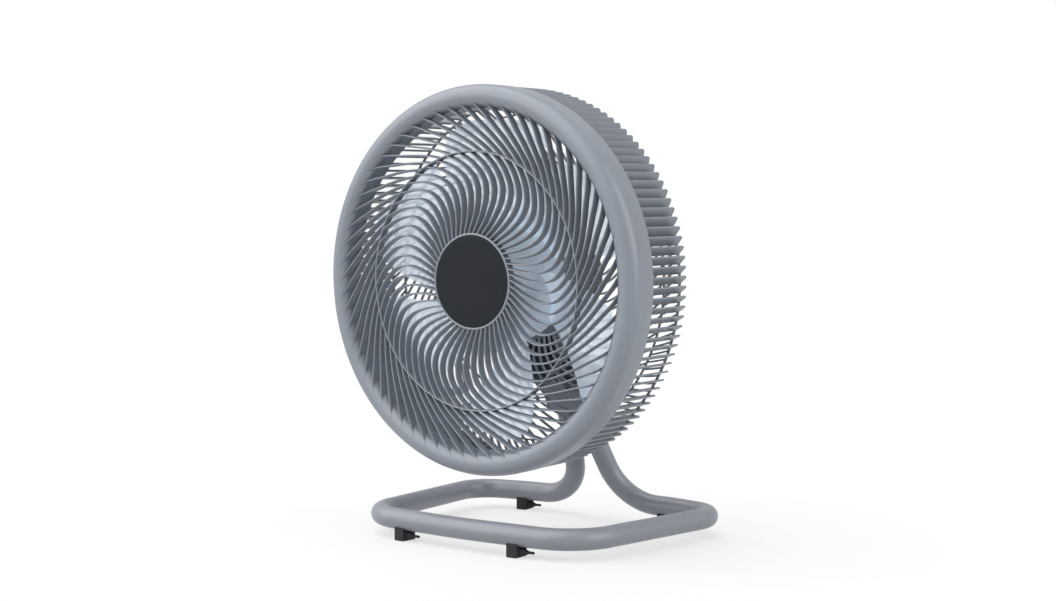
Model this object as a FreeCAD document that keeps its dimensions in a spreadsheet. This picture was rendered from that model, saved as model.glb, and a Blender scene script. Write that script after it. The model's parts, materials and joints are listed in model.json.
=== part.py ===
import FreeCAD, Part
import Sketcher
import math
import os
from FreeCAD import Placement, Rotation, Vector

# Floor fan: a louvred, caged fan head that tilts on a stand bent from one round tube.
# World frame: +X right seen from the front, +Y to the back, +Z up, origin on the floor under the
# middle of the stand's footprint. Millimetres.
# Head parts are drawn in the head's own frame: its origin is on the fan axis in the plane of the
# bezel lip's core circle, Y runs backwards along the axis.

DOC = FreeCAD.newDocument("floor_fan")

# ---------------------------------------------------------------- driving dimensions

SIZES = {
    "axis_height": (272.0, "fan axis above the floor"),
    "head_forward": (96.08, "bezel core plane in front of the origin"),
    "nod_angle": (1.34, "head's rest pose, degrees face down"),
    "pivot_back": (118.0, "tilt pivot behind the bezel plane"),
    "pivot_drop": (102.0, "tilt pivot below the fan axis"),
    "bezel_radius": (200.0, "outside of the bezel"),
    "lip_radius": (12.2, "round lip of the bezel"),
    "bezel_wall": (2.5, "bezel wall"),
    "bezel_depth": (22.0, "side wall behind the lip's core"),
    "hub_radius": (49.5, "front grille's hub ring"),
    "hub_ring_wall": (2.3, "width of the hub ring"),
    "badge_thick": (2.7, "hub badge"),
    "badge_proud": (0.3, "hub badge ahead of the rib front edges"),
    "mid_ring_radius": (132.2, "front grille's middle ring"),
    "ring_wall": (2.0, "radial width of the middle rings"),
    "rib_front": (10.5, "rib front edges ahead of the core plane"),
    "rib_depth": (8.5, "depth of the front ribs"),
    "rib_width": (1.9, "width of the ribs"),
    "fin_radius": (199.0, "outer edges of the side fins"),
    "fin_root_radius": (190.5, "inner edges of the side fins"),
    "fin_lean": (40.0, "side fins' lean from radial, degrees"),
    "fin_start": (22.3, "front ends of the side fins"),
    "flange_bore": (185.5, "inside of the rear grille's front flange"),
    "cage_back": (84.0, "back of the rear grille"),
    "rim_radius": (190.9, "rear grille's outer ring"),
    "rear_rib_depth": (3.0, "depth of the rear ribs and rings"),
    "rear_mid_radius": (128.0, "rear grille's middle ring"),
    "rear_fork_radius": (172.7, "rear grille's ring where its ribs double"),
    "fork_ring_wall": (1.6, "radial width of that ring"),
    "plate_radius": (66.0, "rear grille's motor plate"),
    "cover_radius": (58.0, "motor cover's front rim"),
    "cover_back": (150.0, "motor cover's back face"),
    "cover_wall": (2.5, "motor cover wall"),
    "neck_width": (41.4, "motor cover's neck"),
    "motor_radius": (45.0, "motor end shields"),
    "shaft_radius": (4.0, "motor shaft"),
    "running_gap": (0.05, "radial clearance of running fits"),
    "rotor_radius": (64.0, "fan rotor's hub"),
    "blade_tip": (166.0, "blade tip circle"),
    "blade_thick": (2.0, "blade thickness"),
    "tube_radius": (11.0, "stand tube"),
    "tube_wall": (1.5, "stand tube wall"),
    "foot_drop": (10.35, "feet below the tube"),
    "bolt_radius": (4.0, "tilt bolt"),
    "ear_gap": (0.3, "neck to bracket ears, each side"),
    "ear_thick": (7.0, "bracket ears"),
    "tilt_knob_radius": (20.0, "tilt knob"),
    "tilt_knob_length": (19.0, "tilt knob"),
    "speed_knob_radius": (16.0, "speed knob"),
    "speed_knob_length": (15.0, "speed knob"),
}
INNER_RIBS = 55
OUTER_RIBS = 63
SIDE_FINS = 126
FIN_PHASE = -0.74
REAR_RIBS = 63
BLADES = 6

sheet = DOC.addObject("Spreadsheet::Sheet", "Sizes")
for row, (name, (value, note)) in enumerate(SIZES.items(), start=1):
    sheet.set(f"A{row}", name)
    sheet.set(f"B{row}", str(value))
    sheet.set(f"C{row}", note)
    sheet.setAlias(f"B{row}", name)
DOC.recompute()


def size(name):
    return float(getattr(sheet, name))


# ---------------------------------------------------------------- placements

X_AXIS = Vector(1, 0, 0)
Y_AXIS = Vector(0, 1, 0)
Z_AXIS = Vector(0, 0, 1)
BACKWARDS = Rotation(X_AXIS, -90)  # turns a part's own +Z to the head's +Y

HEAD = Placement(
    Vector(0, -size("head_forward"), size("axis_height")),
    Rotation(X_AXIS, size("nod_angle")),
)
AXIAL = HEAD * Placement(Vector(), BACKWARDS)
PIVOT = HEAD.multVec(Vector(0, size("pivot_back"), -size("pivot_drop")))

NODES = []


def keep(item, label, placement):
    """Names a sub-part, puts it in its place and lists it for export."""
    item.Label = label
    item.Placement = placement
    NODES.append(item)
    return item


def feature(label, shape, placement):
    """A sub-part whose shape is worked out in code."""
    item = DOC.addObject("Part::Feature", label)
    item.Shape = shape
    return keep(item, label, placement)


# ---------------------------------------------------------------- parametric turned parts


def cell(name, plus=0.0):
    """A size from the sheet, with a fixed allowance: its value now and its expression."""
    return size(name) + plus, f"Sizes.{name} + {plus}"


def lathe(label, profile, placement):
    """A turned PartDesign body. profile lists (radius, position) corners: numbers or cells."""
    body = DOC.addObject("PartDesign::Body", label)
    sketch = body.newObject("Sketcher::SketchObject", label + "_profile")
    plane = [p for p in body.Origin.OriginFeatures if p.Role == "XZ_Plane"][0]
    sketch.AttachmentSupport = [(plane, "")]
    sketch.MapMode = "FlatFace"
    corners = [[c if isinstance(c, tuple) else (float(c), None) for c in pair] for pair in profile]
    count = len(corners)
    for i in range(count):
        start, end = corners[i], corners[(i + 1) % count]
        line = Part.LineSegment(Vector(start[0][0], start[1][0], 0), Vector(end[0][0], end[1][0], 0))
        sketch.addGeometry(line, False)
    for i in range(count):
        sketch.addConstraint(Sketcher.Constraint("Coincident", i, 2, (i + 1) % count, 1))
    for i, (radius, place) in enumerate(corners):
        if radius[0] == 0:
            sketch.addConstraint(Sketcher.Constraint("PointOnObject", i, 1, -2))
        else:
            bind(sketch, "DistanceX", i, radius)
        bind(sketch, "DistanceY", i, place)
    turned = body.newObject("PartDesign::Revolution", label + "_turned")
    turned.Profile = sketch
    turned.ReferenceAxis = (sketch, ["V_Axis"])
    turned.Angle = 360
    body.Tip = turned
    return keep(body, label, placement)


def bind(sketch, kind, corner, amount):
    """Fixes one coordinate of a profile's corner, driven by the sheet where it names a cell."""
    value, expression = amount
    index = sketch.addConstraint(Sketcher.Constraint(kind, corner, 1, value))
    if expression:
        sketch.setExpression(f"Constraints[{index}]", expression)


# ---------------------------------------------------------------- shape helpers


def disc(radius, start, length, at=(0, 0)):
    """A cylinder along the head's Y axis."""
    return Part.makeCylinder(radius, length, Vector(at[0], start, at[1]), Y_AXIS)


def ring(outer, inner, start, length, at=(0, 0)):
    """A tube along the head's Y axis."""
    return disc(outer, start, length, at).cut(disc(inner, start, length, at))


def box(low, high):
    """A block between two corners."""
    low, high = Vector(*low), Vector(*high)
    span = high - low
    return Part.makeBox(span.x, span.y, span.z, low)


def polar(radius, degrees, y=0.0):
    """A point given by its radius and angle about the fan axis, anticlockwise from the front."""
    a = math.radians(degrees)
    return Vector(radius * math.cos(a), y, radius * math.sin(a))


def around(shape, count, first=0.0):
    """Copies of a shape evenly spaced about the fan axis."""
    copies = []
    for i in range(count):
        copy = shape.copy()
        copy.rotate(Vector(), Y_AXIS, -(first + 360.0 * i / count))
        copies.append(copy)
    return copies


def spline(points):
    """A smooth edge through the points."""
    curve = Part.BSplineCurve()
    curve.interpolate(points)
    return curve


def revolve(points):
    """A ring turned about the fan axis from (radius, y) corners; an arc's middle point is a triple."""
    edges = []
    here = points[0]
    for step in points[1:] + [points[0]]:
        if len(step) == 3:
            middle = step[:2]
            continue_to = step[2]
            arc = Part.Arc(at_rim(here), at_rim(middle), at_rim(continue_to))
            edges.append(arc.toShape())
            here = continue_to
            continue
        if at_rim(here).distanceToPoint(at_rim(step)) > 1e-6:
            edges.append(Part.LineSegment(at_rim(here), at_rim(step)).toShape())
        here = step
    face = Part.Face(Part.Wire(edges))
    return face.revolve(Vector(), Y_AXIS, 360)


def at_rim(point):
    """A profile corner (radius, y) in the head's XY plane."""
    return Vector(point[0], point[1], 0)


# ---------------------------------------------------------------- grille ribs

HALF_RING = size("ring_wall") / 2
MID, REAR_MID = size("mid_ring_radius"), size("rear_mid_radius")
FORK, HALF_FORK = size("rear_fork_radius"), size("fork_ring_wall") / 2
BURIED_RIM = 183.0

# How far a rib has swung about the axis, in degrees, at each radius.
INNER_SWING = ((size("hub_radius"), 8.6), (60, 4.0), (72, 1.1), (88, 0.0), (104, 2.7), (119, 10.0),
               (MID - HALF_RING, 18.0))
OUTER_SWING = ((MID + HALF_RING, 0.0), (146, 8.8), (160, 16.8), (172, 21.8), (BURIED_RIM, 26.4))
RIM_SWING = ((FORK + HALF_FORK, 0.0), (181, 1.8), (size("rim_radius") - HALF_RING, 3.9))
REAR_OUTER_SWING = ((REAR_MID + HALF_RING, 0.6), (146, 10.5), (160, 17.3), (FORK - HALF_FORK, 22.0))
REAR_INNER_SWING = ((size("plate_radius"), 3.0), (84, 0.8), (104, 4.0), (REAR_MID - HALF_RING, 12.5))


def rib_edges(swing, width):
    """Both sides of a rib as lists of points, from its inner end to its outer end."""
    middle = spline([polar(radius, angle) for radius, angle in swing])
    sides = ([], [])
    steps = 7
    for i in range(steps):
        u = middle.FirstParameter + (middle.LastParameter - middle.FirstParameter) * i / (steps - 1)
        here = middle.value(u)
        along = Vector(*middle.tangent(u)[0])
        across = along.cross(Y_AXIS).normalize() * (width / 2)
        for side, sign in zip(sides, (1, -1)):
            side.append(here + across * sign)
    for side in sides:
        side[0] = side[0].normalize() * swing[0][0]
        side[-1] = side[-1].normalize() * swing[-1][0]
    return sides


def turned_point(point, degrees):
    """A point turned about the fan axis."""
    return Rotation(Y_AXIS, -degrees).multVec(point)


def gaps(swing, count, width):
    """The openings between neighbouring ribs, as closed wires in the head's XZ plane."""
    low, high = rib_edges(swing, width)
    if math.atan2(low[3].z, low[3].x) > math.atan2(high[3].z, high[3].x):
        low, high = high, low
    wires = []
    pitch = 360.0 / count
    for i in range(count):
        angle = pitch * i
        start = [turned_point(p, angle) for p in high]
        end = [turned_point(p, angle + pitch) for p in low]
        wires.append(Part.Wire([
            spline(start).toShape(),
            rim_arc(start[-1], end[-1]),
            spline(end).toShape(),
            rim_arc(start[0], end[0]),
        ]))
    return wires


def rim_arc(start, end):
    """A short arc about the fan axis between two points at one radius."""
    middle = (start + end).normalize() * start.Length
    return Part.Arc(start, middle, end).toShape()


def circle_wire(radius):
    return Part.Wire([Part.makeCircle(radius, Vector(), Y_AXIS)])


def pierced_plate(outer, wires, start, depth):
    """A flat plate with openings, between two planes across the fan axis."""
    face = Part.makeFace([circle_wire(outer)] + wires, "Part::FaceMakerBullseye")
    plate = face.extrude(Vector(0, depth, 0))
    plate.translate(Vector(0, start, 0))
    return plate


# ---------------------------------------------------------------- front grille


def front_grille():
    """Bezel, hub ring, middle ring and both zones of swirled ribs: one moulding."""
    lip, wall = size("lip_radius"), size("bezel_wall")
    core = size("bezel_radius") - lip
    inside = lip - wall
    back = size("bezel_depth")
    skirt = 10.0
    draft = 1.5
    bezel = revolve([
        (core + lip, back), (core + lip, 0), (core, -lip, (core - lip, 0)),
        (core - lip - draft, skirt), (core - lip - draft + wall, skirt),
        (core - inside, 0), (core, -inside, (core + inside, 0)), (core + inside, back),
    ])
    width = size("rib_width")
    hub = size("hub_radius")
    openings = [circle_wire(hub - size("hub_ring_wall"))]
    openings += gaps(INNER_SWING, INNER_RIBS, width)
    openings += gaps(OUTER_SWING, OUTER_RIBS, width)
    wheel = pierced_plate(BURIED_RIM + wall, openings, -size("rib_front"), size("rib_depth"))
    hub_plate = disc(hub - 0.5, badge_face() + size("badge_thick"), 2.5)
    return wheel.fuse([bezel, hub_plate])


def badge_face():
    """Front face of the hub badge."""
    return -size("rib_front") - size("badge_proud")


# ---------------------------------------------------------------- rear grille

PLATE_THICK = 4.0
NUT_HOLE = 14.3
SCREW_RADIUS = 2.0
COVER_SCREWS_AT = 52.0
BEZEL_SCREW = 1.6
FLANGE = (17.0, 24.0)


def side_fin():
    """One louvre of the drum: a thin plate leaning from radial, rounded at its rear corner."""
    root, edge = size("fin_root_radius"), size("fin_radius")
    start, end = size("fin_start"), size("cage_back")
    lean = math.tan(math.radians(size("fin_lean"))) * (edge - root)
    inner = Vector(root, start, 0)
    outer = polar(edge, math.degrees(lean / edge), start)
    across = (outer - inner).cross(Y_AXIS).normalize() * (size("rib_width") / 2)
    corners = [inner + across, outer + across, outer - across, inner - across, inner + across]
    fin = Part.Face(Part.makePolygon(corners)).extrude(Vector(0, end - start, 0))
    rear_edges = []
    for e in fin.Edges:
        ends = [v.Point for v in e.Vertexes]
        if all(p.y > end - 1 and math.hypot(p.x, p.z) > edge - 1 for p in ends):
            rear_edges.append(e)
    return fin.makeFillet(3.0, rear_edges)


def rear_grille():
    """Flange, louvred drum and swirled rear ribs with the plate the motor hangs on."""
    back = size("cage_back")
    width = size("rib_width")
    openings = [circle_wire(NUT_HOLE)]
    openings += gaps(REAR_INNER_SWING, REAR_RIBS, width)
    openings += gaps(REAR_OUTER_SWING, REAR_RIBS, width)
    openings += gaps(RIM_SWING, SIDE_FINS, width)
    depth = size("rear_rib_depth")
    rear = pierced_plate(size("rim_radius") + HALF_RING, openings, back - depth, depth)
    plate = ring(size("plate_radius"), NUT_HOLE, back - PLATE_THICK, PLATE_THICK)
    inside_bezel = size("bezel_radius") - size("bezel_wall") - 0.3
    flange = ring(inside_bezel, size("flange_bore"), FLANGE[0], FLANGE[1] - FLANGE[0])
    fins = around(side_fin(), SIDE_FINS, FIN_PHASE)
    cage = flange.fuse([plate, rear] + fins)
    for x, z in circle_places(COVER_SCREWS_AT, 4, 45):
        cage = cage.cut(disc(SCREW_RADIUS + 0.1, back - PLATE_THICK - 1, PLATE_THICK + 2, (x, z)))
    return cage.cut(lock_screw_hole())


def circle_places(radius, count, first=0.0):
    """(x, z) places evenly spaced about the fan axis."""
    points = [polar(radius, first + 360.0 * i / count) for i in range(count)]
    return [(p.x, p.z) for p in points]


def lock_screw_hole():
    """The hole for the one screw that locks the bezel to the rear grille, at the bottom."""
    shank = Part.makeCylinder(BEZEL_SCREW + 0.05, 20, Vector(0, 19, -205), Z_AXIS)
    sink = Part.makeCylinder(3.1, 6, Vector(0, 19, -204.7), Z_AXIS)
    return shank.fuse(sink)


def lock_screw():
    """Countersunk screw through the bezel into the rear grille's flange."""
    shank = Part.makeCylinder(BEZEL_SCREW, 11, Vector(0, 19, -199), Z_AXIS)
    head = Part.makeCylinder(3.0, 1.0, Vector(0, 19, -199.7), Z_AXIS)
    return shank.fuse(head)


# ---------------------------------------------------------------- motor cover

COVER_FRONT = 84.0
NECK_END = 13.0


def motor_cover():
    """Vented rear housing with the neck that carries the tilt pivot."""
    rim, back, wall = size("cover_radius"), size("cover_back"), size("cover_wall")
    inner = rim - wall
    shoulder, edge = back - 18, back - 5
    shell = revolve([
        (rim, COVER_FRONT), (rim, shoulder), (rim - 4, edge), (rim - 12, back), (0, back),
        (0, back - wall), (rim - 13, back - wall), (inner - 3.8, edge - 1.4),
        (inner, shoulder - 1), (inner, COVER_FRONT),
    ])
    bosses = [disc(4.5, COVER_FRONT, 14, place) for place in circle_places(COVER_SCREWS_AT, 4, 45)]
    cover = shell.fuse([neck()] + bosses)
    for place in circle_places(COVER_SCREWS_AT, 4, 45):
        cover = cover.cut(disc(SCREW_RADIUS + 0.05, COVER_FRONT - 1, 13, place))
    cover = cover.cut(disc(5.2, back - 10, 20))
    cover = cover.cut(disc(GLAND_RADIUS + 0.05, back - 10, 20, (0, GLAND_DROP)))
    return cover.cut(vents())


def neck():
    """The block below the motor with the tilt bore, its front and back grooved upright."""
    y, z = size("pivot_back"), -size("pivot_drop")
    half = size("neck_width") / 2
    top = -40.0
    outline = [
        Vector(-half, y - NECK_END, z), Vector(-half, y - 16, top),
        Vector(-half, y + 18, top), Vector(-half, y + NECK_END, z),
        Vector(-half, y - NECK_END, z),
    ]
    post = Part.Face(Part.makePolygon(outline)).extrude(Vector(2 * half, 0, 0))
    knuckle = Part.makeCylinder(NECK_END, 2 * half, Vector(-half, y, z), X_AXIS)
    post = post.fuse(knuckle).cut(disc(size("cover_radius") - size("cover_wall"), 60, 80))
    bore = Part.makeCylinder(size("bolt_radius") + size("running_gap"), 60, Vector(-30, y, z), X_AXIS)
    post = post.cut(bore)
    for i in range(5):
        x = -14 + 7 * i
        for face in (y - 22, y + 9):
            post = post.cut(box((x - 1.7, face, z + 17), (x + 1.7, face + 13, -62)))
    return post


def vents():
    """Upright slots round the cover's side and in its back."""
    rim, back = size("cover_radius"), size("cover_back")
    slots = []
    for i in range(24):
        slot = box((rim - 6, 100, -1.7), (rim + 2, 122, 1.7))
        slot.rotate(Vector(), Y_AXIS, 41.0 - 262.0 * i / 23)
        slots.append(slot)
    for x in (22, 28, 34):
        half = 26 - (x - 22)
        for side in (-1, 1):
            slots.append(box((side * x - 1.6, back - 5, 16), (side * x + 1.6, back + 2, 16 + half)))
            slots.append(box((side * x - 1.6, back - 5, -16 - half), (side * x + 1.6, back + 2, -16)))
    return Part.makeCompound(slots)


# ---------------------------------------------------------------- motor

SHIELD_BORE = 8.02
MOTOR_BOLTS_AT = 48.0
MOTOR_BOLT = 1.9


def end_shield(boss_radius, boss, plate, skirt):
    """A motor end cap: skirt, plate, bush boss and four bolt ears. Spans are (start, end) in Y."""
    outer = size("motor_radius")
    parts = [
        disc(boss_radius, boss[0], boss[1] - boss[0]),
        disc(outer, plate[0], plate[1] - plate[0]),
        ring(outer, outer - 2.8, skirt[0], skirt[1] - skirt[0]),
    ]
    ears = []
    for place in circle_places(MOTOR_BOLTS_AT, 4):
        ears.append(disc(5.2, plate[0], plate[1] - plate[0], place))
    shield = parts[0].fuse(parts[1:] + ears)
    start = min(boss[0], plate[0])
    shield = shield.cut(disc(SHIELD_BORE, start - 1, 40))
    for place in circle_places(MOTOR_BOLTS_AT, 4):
        shield = shield.cut(disc(MOTOR_BOLT + 0.05, plate[0] - 1, 20, place))
    return shield


def stator_core():
    """Laminated ring with closed slots."""
    core = ring(42.1, 26.0, 92, 24)
    slots = around(box((29.5, 91, -3), (38, 117, 3)), 12)
    return core.cut(Part.makeCompound(slots))


def stator_windings():
    """The two copper end turns, either side of the core."""
    return Part.makeCompound([ring(39, 28.5, 88.4, 3.5), ring(39, 28.5, 116.1, 1.8)])


def thrust_washers():
    """Fibre washers on the shaft, either side of the motor's rotor."""
    bore = size("shaft_radius") + 0.03
    return Part.makeCompound([ring(7, bore, 90.5, 1.2), ring(7, bore, 116.2, 1.2)])


def screws(places, start, end, shank, head, head_start, head_end):
    """A group of like screws along the head's Y axis."""
    made = []
    for place in places:
        rod = disc(shank, start, end - start, place)
        cap = disc(head, head_start, head_end - head_start, place)
        made.append(rod.fuse(cap))
    return Part.makeCompound(made)


# ---------------------------------------------------------------- fan rotor

BLADE_PHASE = 45.0
# Distance out, swing of the middle, half width (degrees), front and back of the blade.
BLADE_SECTIONS = (
    (44, 1.0, 25.0, 27.0, 56.0),
    (85, -4.0, 24.0, 20.0, 56.0),
    (125, -11.0, 22.5, 18.0, 52.0),
    (180, -20.0, 21.0, 17.0, 45.0),
)


def blade():
    """One swept, cambered blade, trimmed to the tip circle."""
    half_thick = size("blade_thick") / 2
    wires = []
    for out, swing, spread, front, back in BLADE_SECTIONS:
        middle = out * math.tan(math.radians(swing))
        reach = out * math.tan(math.radians(spread))
        sides = ([], [])
        for u in (-1, -0.5, 0, 0.5, 1):
            rise = (front + back) / 2 - u * (back - front) / 2 + 3.5 * (1 - u * u)
            for side, offset in zip(sides, (-half_thick, half_thick)):
                side.append(Vector(out, rise + offset, middle + u * reach))
        low, high = sides
        wires.append(Part.Wire([
            spline(low).toShape(),
            Part.LineSegment(low[-1], high[-1]).toShape(),
            spline(high[::-1]).toShape(),
            Part.LineSegment(high[0], low[0]).toShape(),
        ]))
    body = Part.makeLoft(wires, True, False)
    return body.common(ring(size("blade_tip"), size("rotor_radius") - 2, 8, 54))


def fan_rotor():
    """Cup-shaped hub and its blades: one clear moulding, slotted for the drive pin."""
    rim = size("rotor_radius")
    wall = 2.5
    cup = revolve([
        (0, 26), (rim - 6, 26), (rim, 32), (rim, 64), (rim - wall, 64), (rim - wall, 33),
        (rim - 7, 26 + wall), (9, 26 + wall), (9, 56), (0, 56),
    ])
    wheel = cup.fuse(around(blade(), BLADES, BLADE_PHASE))
    wheel = wheel.cut(disc(size("shaft_radius") + 0.03, 20, 50))
    return wheel.cut(box((-12, 52.8, -1.6), (12, 60, 1.6)))


# ---------------------------------------------------------------- controls

GLAND_RADIUS = 6.5
GLAND_DROP = -34.0


def speed_knob():
    """Round knob with grip flutes and a raised pointer, bored for the spindle."""
    radius, length = size("speed_knob_radius"), size("speed_knob_length")
    start = size("cover_back") + 0.6
    knob = revolve([
        (0, start), (radius, start), (radius - 1.5, start + length - 1.5),
        (radius - 3, start + length), (0, start + length),
    ])
    flutes = around(disc(1.6, start + 3, length, (radius + 0.4, 0)), 16, 11.25)
    knob = knob.cut(Part.makeCompound(flutes))
    pointer = box((-1.2, start + length - 0.5, 2), (1.2, start + length + 1.2, radius - 3.5))
    return knob.fuse(pointer).cut(disc(3.03, start - 1, 10.5))


def speed_switch():
    """Rotary switch body behind the cover's back wall."""
    back = size("cover_back") - size("cover_wall")
    body = box((-13, back - 14, -13), (13, back - 0.1, 13))
    bush = disc(5.0, back - 1, 2.6)
    return body.fuse(bush).cut(disc(3.05, back - 10, 30))


def cable_gland():
    """Flanged bush in the cover's back wall where the mains lead enters."""
    back = size("cover_back")
    at = (0, GLAND_DROP)
    body = disc(GLAND_RADIUS, back - 5, 9, at).fuse(disc(9.0, back, 2.0, at))
    return body.cut(disc(3.4, back - 10, 30, at))


# ---------------------------------------------------------------- stand

SOLE = -size("tube_radius") - size("foot_drop")
BASE_DROP = size("axis_height") + SOLE
# Right half of the tube's centre line in the stand frame, whose origin is the fan's centre, and the
# bend radius at each inner corner. The line runs from the tube's end under the pivot, down, round
# the base and to the middle of the front bar.
TUBE_ROUTE = (
    (Vector(13.5, 154.3, -102.0), None),
    (Vector(14.4, 182.6, -170.3), 200),
    (Vector(30.6, 219.8, -BASE_DROP), 53),
    (Vector(101.0, 215.7, -BASE_DROP), 200),
    (Vector(167.0, 201.4, -BASE_DROP), 36),
    (Vector(139.1, -18.1, -BASE_DROP), 53),
)
FRONT_BOW = (Vector(0, -26.4, -BASE_DROP), 600)


def mirrored(point):
    return Vector(-point.x, point.y, point.z)


def tube_corners():
    """Corners and bend radii of the whole centre line, from one end to the other."""
    left = [(mirrored(point), radius) for point, radius in reversed(TUBE_ROUTE)]
    return list(TUBE_ROUTE) + [FRONT_BOW] + left


def rounded_path(corners):
    """Straight runs joined by tangent arcs, as one wire."""
    edges = []
    here = corners[0][0]
    for i in range(1, len(corners) - 1):
        corner, radius = corners[i]
        back = (corners[i - 1][0] - corner).normalize()
        ahead = (corners[i + 1][0] - corner).normalize()
        half = back.getAngle(ahead) / 2
        reach = radius / math.tan(half)
        start, end = corner + back * reach, corner + ahead * reach
        inward = (back + ahead).normalize()
        middle = corner + inward * (radius / math.sin(half) - radius)
        edges.append(Part.LineSegment(here, start).toShape())
        edges.append(Part.Arc(start, middle, end).toShape())
        here = end
    edges.append(Part.LineSegment(here, corners[-1][0]).toShape())
    return Part.Wire(edges)


def swept(radius):
    """A round bar of the given radius along the stand's centre line."""
    corners = tube_corners()
    start = corners[0][0]
    path = rounded_path(corners)
    section = Part.Wire([Part.makeCircle(radius, start, corners[1][0] - start)])
    return path.makePipeShell([section], True, False)


def tube_axis(side):
    """Top end of one upright and its downward direction."""
    top, below = TUBE_ROUTE[0][0], TUBE_ROUTE[1][0]
    if side < 0:
        top, below = mirrored(top), mirrored(below)
    return top, (below - top).normalize()


SCREW_DOWN = 20.0


def bracket_screw(side, radius, head_radius):
    """A screw through the back of the bracket into one upright."""
    top, down = tube_axis(side)
    outward = X_AXIS.cross(down).normalize()
    if outward.y < 0:
        outward = outward * -1
    centre = top + down * SCREW_DOWN
    shank = Part.makeCylinder(radius, 9, centre + outward * 6, outward)
    head = Part.makeCylinder(head_radius, 2.4, centre + outward * 14.6, outward)
    return shank.fuse(head)


def stand_tube():
    """One bent steel tube, open at both upright ends, drilled for the bracket's screws."""
    tube = swept(size("tube_radius")).cut(swept(size("tube_radius") - size("tube_wall")))
    for side in (-1, 1):
        tube = tube.cut(bracket_screw(side, SCREW_RADIUS + 0.05, 4))
    return tube


def stand_bracket():
    """Moulded socket on both uprights with two ears for the tilt bolt."""
    reach = size("neck_width") / 2 + size("ear_gap")
    half = reach + size("ear_thick")
    top, down = tube_axis(1)
    flat = Vector(0, down.y, down.z).normalize()
    out = Vector(0, -flat.z, flat.y)
    origin = Vector(-half, top.y, top.z)
    corners = []
    for along, across in ((-3, 14.6), (-3, -14.5), (42, -14.5), (42, 14.6), (-3, 14.6)):
        corners.append(origin + flat * along + out * across)
    block = Part.Face(Part.makePolygon(corners)).extrude(Vector(2 * half, 0, 0))
    pivot = PIVOT - STAND.Base
    ears = []
    for x in (-half, reach):
        centre = Vector(x, pivot.y, pivot.z)
        cheek = [centre + Vector(0, y, z) for y, z in ((0, 14), (38, 8), (44, -24), (0, -14), (0, 14))]
        span = Vector(size("ear_thick"), 0, 0)
        ears.append(Part.Face(Part.makePolygon(cheek)).extrude(span))
        ears.append(Part.makeCylinder(14, size("ear_thick"), centre, X_AXIS))
    bracket = block.fuse(ears)
    bore = size("bolt_radius") + size("running_gap")
    bracket = bracket.cut(Part.makeCylinder(bore, 80, Vector(-40, pivot.y, pivot.z), X_AXIS))
    for side in (-1, 1):
        top, down = tube_axis(side)
        bracket = bracket.cut(Part.makeCylinder(size("tube_radius") + 0.02, 60, top, down))
        bracket = bracket.cut(bracket_screw(side, SCREW_RADIUS + 0.05, 0.1))
    return bracket


# A foot's body seen from the side: (distance along the tube, height from the tube's centre).
FOOT_OUTLINE = ((-8, -7.5), (-8, SOLE + 1), (-7.2, SOLE), (4.2, SOLE), (5, SOLE + 1), (5, -7.5))
FOOT_WIDTH = 18.0
TAIL_HEIGHT = -15.8
TAIL_RADII = (5.4, 1.4)
TAIL_TAPER = 9.0
TAIL_END = 20.0
FEET = {
    "front_left_foot": (-80.0, -21.6, -3.4),
    "front_right_foot": (69.0, -22.3, 3.4),
    "rear_left_foot": (-103.0, 214.7, 8.0),
    "rear_right_foot": (92.0, 215.8, -5.0),
}


def foot(x, y, turn):
    """A rubber foot under the tube, with its tapered tail."""
    outline = [Vector(along, -FOOT_WIDTH / 2, height) for along, height in FOOT_OUTLINE]
    block = Part.Face(Part.makePolygon(outline + outline[:1])).extrude(Vector(0, FOOT_WIDTH, 0))
    root = Vector(FOOT_OUTLINE[-1][0] - 0.5, 0, TAIL_HEIGHT)
    taper = Part.makeCone(*TAIL_RADII, TAIL_TAPER, root, X_AXIS)
    nub = Part.makeCylinder(TAIL_RADII[1], TAIL_END - root.x, root, X_AXIS)
    block = block.fuse([taper, nub])
    block.rotate(Vector(), Z_AXIS, turn)
    block.translate(Vector(x, y, -BASE_DROP))
    return block.cut(BASE_BAR)


# ---------------------------------------------------------------- tilt clamp


def tilt_knob():
    """Lobed hand knob, bored for the bolt and its brass insert. Drawn along +Z from the pivot."""
    radius, length = size("tilt_knob_radius"), size("tilt_knob_length")
    start = knob_start()
    body = Part.makeCylinder(radius, length, Vector(0, 0, start))
    body = body.makeChamfer(1.5, [e for e in body.Edges if len(e.Vertexes) == 1])
    for i in range(10):
        a = math.radians(36 * i)
        at = Vector((radius + 2.2) * math.cos(a), (radius + 2.2) * math.sin(a), start - 1)
        body = body.cut(Part.makeCylinder(4.2, length + 2, at))
    body = body.cut(Part.makeCylinder(size("bolt_radius") + 0.1, length - 3, Vector(0, 0, start - 0.1)))
    return body.cut(Part.makeCylinder(7.02, 12.04, Vector(0, 0, start + 1)))


def knob_start():
    """Inner face of the tilt knob, along the pivot."""
    return size("neck_width") / 2 + size("ear_gap") + size("ear_thick") + WASHER + 0.3


WASHER = 1.5


def tilt_washers():
    """Steel washers outside the bracket's ears. Drawn along +Z from the pivot."""
    face = size("neck_width") / 2 + size("ear_gap") + size("ear_thick")
    made = []
    for start in (face, -face - WASHER):
        outer = Part.makeCylinder(9, WASHER, Vector(0, 0, start))
        made.append(outer.cut(Part.makeCylinder(4.1, WASHER, Vector(0, 0, start))))
    return Part.makeCompound(made)


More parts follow.
